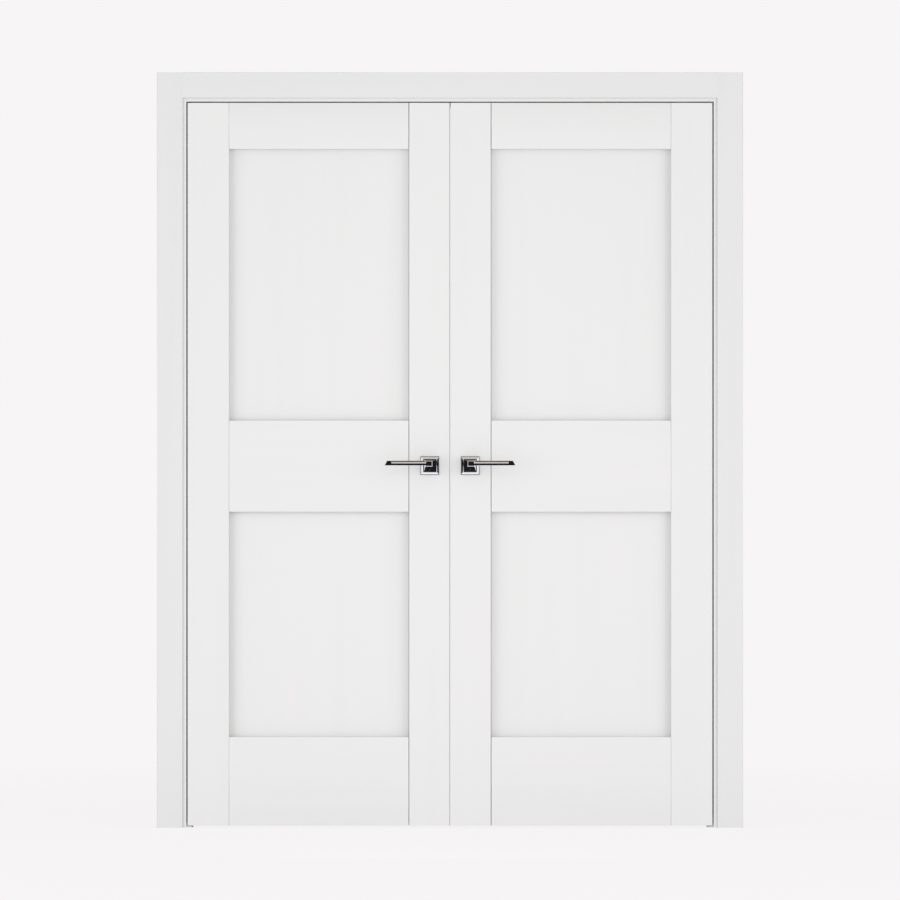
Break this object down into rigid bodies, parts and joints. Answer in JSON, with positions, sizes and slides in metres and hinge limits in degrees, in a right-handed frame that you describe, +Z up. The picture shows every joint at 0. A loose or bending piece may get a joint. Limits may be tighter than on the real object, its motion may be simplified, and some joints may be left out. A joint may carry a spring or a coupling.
{
  "type": "french doors",
  "caption": "White panelled double doors in a rebated frame with flat casings, hung on hidden pivots, with lever handles, a magnetic lock and flush bolts.",
  "frame": {"origin": "on the floor line, midway between the outer edges of the casings and midway through the overall depth", "axes": "+X to the right as seen from the front, +Y from the front of the doors to the back, +Z up"},
  "size_m": [1.641, 0.1756, 2.1155],
  "materials": {
    "leaf_paint": "satin white paint",
    "frame_paint": "satin white paint",
    "chrome": "polished",
    "steel": "zinc plated",
    "brass": "satin",
    "seal": "matt",
    "strip": "matt"
  },
  "bodies": {
    "frame": {"jamb_left": "frame_paint", "jamb_right": "frame_paint", "jamb_head": "frame_paint", "stop_left": "frame_paint", "stop_right": "frame_paint", "stop_head": "frame_paint", "seal_left": "seal", "seal_right": "seal", "seal_head": "seal", "casing_front_left": "frame_paint", "casing_front_right": "frame_paint", "casing_front_head": "frame_paint", "casing_back_left": "frame_paint", "casing_back_right": "frame_paint", "casing_back_head": "frame_paint", "head_pivot_left": "steel", "head_pivot_right": "steel", "foot_bracket_left": "steel", "foot_bracket_right": "steel", "thrust_washer_left": "brass", "thrust_washer_right": "brass", "bolt_keeper": "steel"},
    "leaf_left": {"hinge_stile_left": "leaf_paint", "meeting_stile_left": "leaf_paint", "top_rail_left": "leaf_paint", "lock_rail_left": "leaf_paint", "bottom_rail_left": "leaf_paint", "upper_panel_left": "leaf_paint", "lower_panel_left": "leaf_paint", "pivot_bushes_left": "brass", "rose_front_left": "chrome", "rose_back_left": "chrome", "strike_plate": "chrome", "strike_magnet": "steel", "meeting_seal": "strip", "bolt_plate_top": "chrome", "bolt_plate_bottom": "chrome"},
    "leaf_right": {"hinge_stile_right": "leaf_paint", "meeting_stile_right": "leaf_paint", "top_rail_right": "leaf_paint", "lock_rail_right": "leaf_paint", "bottom_rail_right": "leaf_paint", "upper_panel_right": "leaf_paint", "lower_panel_right": "leaf_paint", "pivot_bushes_right": "brass", "rose_front_right": "chrome", "rose_back_right": "chrome", "lock_case": "steel", "lock_faceplate": "chrome"},
    "lever_left": {"lever_front_left": "chrome", "lever_back_left": "chrome", "spindle_left": "steel"},
    "lever_right": {"lever_front_right": "chrome", "lever_back_right": "chrome", "spindle_right": "steel", "lock_follower": "steel"},
    "tongue": {"lock_tongue": "chrome"},
    "bolt_top": {"bolt_rod_top": "chrome"},
    "bolt_bottom": {"bolt_rod_bottom": "chrome"}
  },
  "joints": [
    {"name": "left_leaf_swing", "type": "hinge", "parent": "frame", "child": "leaf_left", "pos_m": [-0.725, -0.02375, 1], "axis": [0, 0, -1], "range_deg": [0, 105]},
    {"name": "right_leaf_swing", "type": "hinge", "parent": "frame", "child": "leaf_right", "pos_m": [0.725, -0.02375, 1], "axis": [0, 0, 1], "range_deg": [0, 105]},
    {"name": "left_lever_turn", "type": "hinge", "parent": "leaf_left", "child": "lever_left", "pos_m": [-0.0565, -0.00975, 1.014], "axis": [0, -1, 0], "range_deg": [0, 40], "stiffness_Nm_per_rad": 1.5, "springref_deg": -28.65},
    {"name": "right_lever_turn", "type": "hinge", "parent": "leaf_right", "child": "lever_right", "pos_m": [0.0565, -0.00975, 1.014], "axis": [0, 1, 0], "range_deg": [0, 40], "stiffness_Nm_per_rad": 1.5, "springref_deg": -28.65},
    {"name": "lock_tongue_slide", "type": "slide", "parent": "leaf_right", "child": "tongue", "axis": [-1, 0, 0], "range_m": [0, 0.01]},
    {"name": "top_bolt_slide", "type": "slide", "parent": "leaf_left", "child": "bolt_top", "axis": [0, 0, 1], "range_m": [0, 0.015]},
    {"name": "bottom_bolt_slide", "type": "slide", "parent": "leaf_left", "child": "bolt_bottom", "axis": [0, 0, -1], "range_m": [0, 0.015]}
  ]
}
